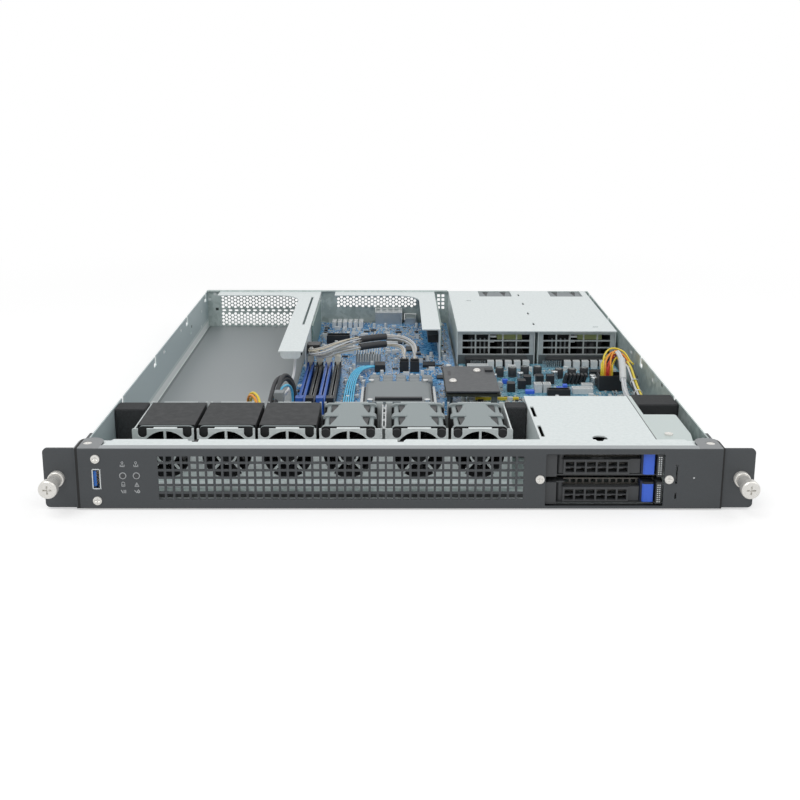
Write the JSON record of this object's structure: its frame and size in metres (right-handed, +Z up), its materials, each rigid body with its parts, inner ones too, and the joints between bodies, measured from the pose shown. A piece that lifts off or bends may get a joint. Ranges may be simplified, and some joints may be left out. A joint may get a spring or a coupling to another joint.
{
  "type": "rack server",
  "caption": "Low rack server with its cover off: steel chassis with rack ears, counter-rotating fans, drive trays, slide-in power supplies, card cages and main board.",
  "frame": {"origin": "centre of the chassis underside", "axes": "+X to the right seen from the front, +Y to the rear, +Z up; the front panel is at -Y"},
  "size_m": [0.4826, 0.5558, 0.0435],
  "materials": {
    "galvanised_steel": "satin",
    "white_steel": "satin",
    "charcoal_panel": "satin",
    "nickel": "satin",
    "button_grey": "satin",
    "board_green": "satin",
    "board_blue": "satin",
    "fan_grey": "matt",
    "fan_black": "matt",
    "film_grey": "satin",
    "foam_black": "matt",
    "tray_dark": "satin",
    "latch_blue": "satin",
    "socket_grey": "satin",
    "socket_blue": "satin",
    "latch_cream": "satin",
    "card_dark": "satin",
    "component_mix": "satin",
    "cable_white": "matt"
  },
  "bodies": {
    "chassis": {"chassis_pan": "galvanised_steel", "rear_panel": "galvanised_steel", "front_panel": "charcoal_panel", "front_crossmember": "white_steel", "rack_ear_left": "charcoal_panel", "rack_ear_right": "charcoal_panel", "panel_fasteners": "nickel", "front_io_board": "board_green", "fan_bracket": "white_steel", "fan_housing_1": "fan_grey", "fan_housing_2": "fan_grey", "fan_housing_3": "fan_grey", "fan_housing_4": "fan_grey", "fan_housing_5": "fan_grey", "fan_housing_6": "fan_grey", "insulation_films": "film_grey", "foam_and_rubber": "foam_black", "drive_cage": "white_steel", "drive_backplane": "board_green", "psu_cage": "white_steel", "riser_cage_left": "white_steel", "riser_cage_right": "white_steel", "riser_cards": "board_green", "motherboard": "board_blue", "power_board": "board_blue", "cpu_socket": "socket_grey", "dimm_sockets": "socket_blue", "mezzanine_card": "card_dark", "board_components": "component_mix", "cables": "cable_white"},
    "thumbscrew_left": {"thumbscrew_left": "nickel"},
    "thumbscrew_right": {"thumbscrew_right": "nickel"},
    "power_button": {"power_button": "button_grey"},
    "id_button": {"id_button": "button_grey"},
    "fan_front_rotor_1": {"fan_front_rotor_1": "fan_black"},
    "fan_rear_rotor_1": {"fan_rear_rotor_1": "fan_black"},
    "fan_front_rotor_2": {"fan_front_rotor_2": "fan_black"},
    "fan_rear_rotor_2": {"fan_rear_rotor_2": "fan_black"},
    "fan_front_rotor_3": {"fan_front_rotor_3": "fan_black"},
    "fan_rear_rotor_3": {"fan_rear_rotor_3": "fan_black"},
    "fan_front_rotor_4": {"fan_front_rotor_4": "fan_black"},
    "fan_rear_rotor_4": {"fan_rear_rotor_4": "fan_black"},
    "fan_front_rotor_5": {"fan_front_rotor_5": "fan_black"},
    "fan_rear_rotor_5": {"fan_rear_rotor_5": "fan_black"},
    "fan_front_rotor_6": {"fan_front_rotor_6": "fan_black"},
    "fan_rear_rotor_6": {"fan_rear_rotor_6": "fan_black"},
    "drive_tray_lower": {"drive_tray_lower": "tray_dark"},
    "tray_lever_lower": {"tray_lever_lower": "tray_dark"},
    "tray_latch_lower": {"tray_latch_lower": "latch_blue"},
    "drive_tray_upper": {"drive_tray_upper": "tray_dark"},
    "tray_lever_upper": {"tray_lever_upper": "tray_dark"},
    "tray_latch_upper": {"tray_latch_upper": "latch_blue"},
    "psu_left": {"psu_left": "white_steel"},
    "psu_release_left": {"psu_release_left": "latch_blue"},
    "psu_right": {"psu_right": "white_steel"},
    "psu_release_right": {"psu_release_right": "latch_blue"},
    "dimm_latch_1": {"dimm_latch_1": "latch_cream"},
    "dimm_latch_2": {"dimm_latch_2": "latch_cream"},
    "dimm_latch_3": {"dimm_latch_3": "latch_cream"},
    "dimm_latch_4": {"dimm_latch_4": "latch_cream"}
  },
  "joints": [
    {"name": "thumbscrew_left_turn", "type": "hinge", "parent": "chassis", "child": "thumbscrew_left", "pos_m": [-0.23255, -0.2588, 0.02175], "axis": [0, 1, 0], "continuous": true},
    {"name": "thumbscrew_right_turn", "type": "hinge", "parent": "chassis", "child": "thumbscrew_right", "pos_m": [0.23255, -0.2588, 0.02175], "axis": [0, 1, 0], "continuous": true},
    {"name": "power_button_press", "type": "slide", "parent": "chassis", "child": "power_button", "axis": [0, 1, 0], "range_m": [0, 0.0006], "stiffness_N_per_m": 900},
    {"name": "id_button_press", "type": "slide", "parent": "chassis", "child": "id_button", "axis": [0, 1, 0], "range_m": [0, 0.0006], "stiffness_N_per_m": 900},
    {"name": "fan_front_rotor_1_spin", "type": "hinge", "parent": "chassis", "child": "fan_front_rotor_1", "pos_m": [-0.1677, -0.194, 0.0221], "axis": [0, 1, 0], "continuous": true},
    {"name": "fan_rear_rotor_1_spin", "type": "hinge", "parent": "chassis", "child": "fan_rear_rotor_1", "pos_m": [-0.1677, -0.17, 0.0221], "axis": [0, 1, 0], "continuous": true},
    {"name": "fan_front_rotor_2_spin", "type": "hinge", "parent": "chassis", "child": "fan_front_rotor_2", "pos_m": [-0.124, -0.194, 0.0221], "axis": [0, 1, 0], "continuous": true},
    {"name": "fan_rear_rotor_2_spin", "type": "hinge", "parent": "chassis", "child": "fan_rear_rotor_2", "pos_m": [-0.124, -0.17, 0.0221], "axis": [0, 1, 0], "continuous": true},
    {"name": "fan_front_rotor_3_spin", "type": "hinge", "parent": "chassis", "child": "fan_front_rotor_3", "pos_m": [-0.0803, -0.194, 0.0221], "axis": [0, 1, 0], "continuous": true},
    {"name": "fan_rear_rotor_3_spin", "type": "hinge", "parent": "chassis", "child": "fan_rear_rotor_3", "pos_m": [-0.0803, -0.17, 0.0221], "axis": [0, 1, 0], "continuous": true},
    {"name": "fan_front_rotor_4_spin", "type": "hinge", "parent": "chassis", "child": "fan_front_rotor_4", "pos_m": [-0.0366, -0.194, 0.0221], "axis": [0, 1, 0], "continuous": true},
    {"name": "fan_rear_rotor_4_spin", "type": "hinge", "parent": "chassis", "child": "fan_rear_rotor_4", "pos_m": [-0.0366, -0.17, 0.0221], "axis": [0, 1, 0], "continuous": true},
    {"name": "fan_front_rotor_5_spin", "type": "hinge", "parent": "chassis", "child": "fan_front_rotor_5", "pos_m": [0.0142, -0.194, 0.0221], "axis": [0, 1, 0], "continuous": true},
    {"name": "fan_rear_rotor_5_spin", "type": "hinge", "parent": "chassis", "child": "fan_rear_rotor_5", "pos_m": [0.0142, -0.17, 0.0221], "axis": [0, 1, 0], "continuous": true},
    {"name": "fan_front_rotor_6_spin", "type": "hinge", "parent": "chassis", "child": "fan_front_rotor_6", "pos_m": [0.0579, -0.194, 0.0221], "axis": [0, 1, 0], "continuous": true},
    {"name": "fan_rear_rotor_6_spin", "type": "hinge", "parent": "chassis", "child": "fan_rear_rotor_6", "pos_m": [0.0579, -0.17, 0.0221], "axis": [0, 1, 0], "continuous": true},
    {"name": "drive_tray_lower_slide", "type": "slide", "parent": "chassis", "child": "drive_tray_lower", "axis": [0, -1, 0], "range_m": [0, 0.1]},
    {"name": "tray_lever_lower_swing", "type": "hinge", "parent": "drive_tray_lower", "child": "tray_lever_lower", "pos_m": [0.1098, -0.2518, 0.0105], "axis": [0, 0, -1], "range_deg": [0, 60]},
    {"name": "tray_latch_lower_push", "type": "slide", "parent": "drive_tray_lower", "child": "tray_latch_lower", "axis": [1, 0, 0], "range_m": [0, 0.0012], "stiffness_N_per_m": 1200},
    {"name": "drive_tray_upper_slide", "type": "slide", "parent": "chassis", "child": "drive_tray_upper", "axis": [0, -1, 0], "range_m": [0, 0.1]},
    {"name": "tray_lever_upper_swing", "type": "hinge", "parent": "drive_tray_upper", "child": "tray_lever_upper", "pos_m": [0.1098, -0.2518, 0.0305], "axis": [0, 0, -1], "range_deg": [0, 60]},
    {"name": "tray_latch_upper_push", "type": "slide", "parent": "drive_tray_upper", "child": "tray_latch_upper", "axis": [1, 0, 0], "range_m": [0, 0.0012], "stiffness_N_per_m": 1200},
    {"name": "psu_left_slide", "type": "slide", "parent": "chassis", "child": "psu_left", "axis": [0, 1, 0], "range_m": [0, 0.18]},
    {"name": "psu_release_left_squeeze", "type": "slide", "parent": "psu_left", "child": "psu_release_left", "axis": [-1, 0, 0], "range_m": [0, 0.002], "stiffness_N_per_m": 1500},
    {"name": "psu_right_slide", "type": "slide", "parent": "chassis", "child": "psu_right", "axis": [0, 1, 0], "range_m": [0, 0.18]},
    {"name": "psu_release_right_squeeze", "type": "slide", "parent": "psu_right", "child": "psu_release_right", "axis": [-1, 0, 0], "range_m": [0, 0.002], "stiffness_N_per_m": 1500},
    {"name": "dimm_latch_1_open", "type": "hinge", "parent": "chassis", "child": "dimm_latch_1", "pos_m": [-0.0825, 0.0435, 0.0136], "axis": [-1, 0, 0], "range_deg": [0, 35]},
    {"name": "dimm_latch_2_open", "type": "hinge", "parent": "chassis", "child": "dimm_latch_2", "pos_m": [-0.074, 0.0435, 0.0136], "axis": [-1, 0, 0], "range_deg": [0, 35]},
    {"name": "dimm_latch_3_open", "type": "hinge", "parent": "chassis", "child": "dimm_latch_3", "pos_m": [-0.0655, 0.0435, 0.0136], "axis": [-1, 0, 0], "range_deg": [0, 35]},
    {"name": "dimm_latch_4_open", "type": "hinge", "parent": "chassis", "child": "dimm_latch_4", "pos_m": [-0.057, 0.0435, 0.0136], "axis": [-1, 0, 0], "range_deg": [0, 35]}
  ]
}
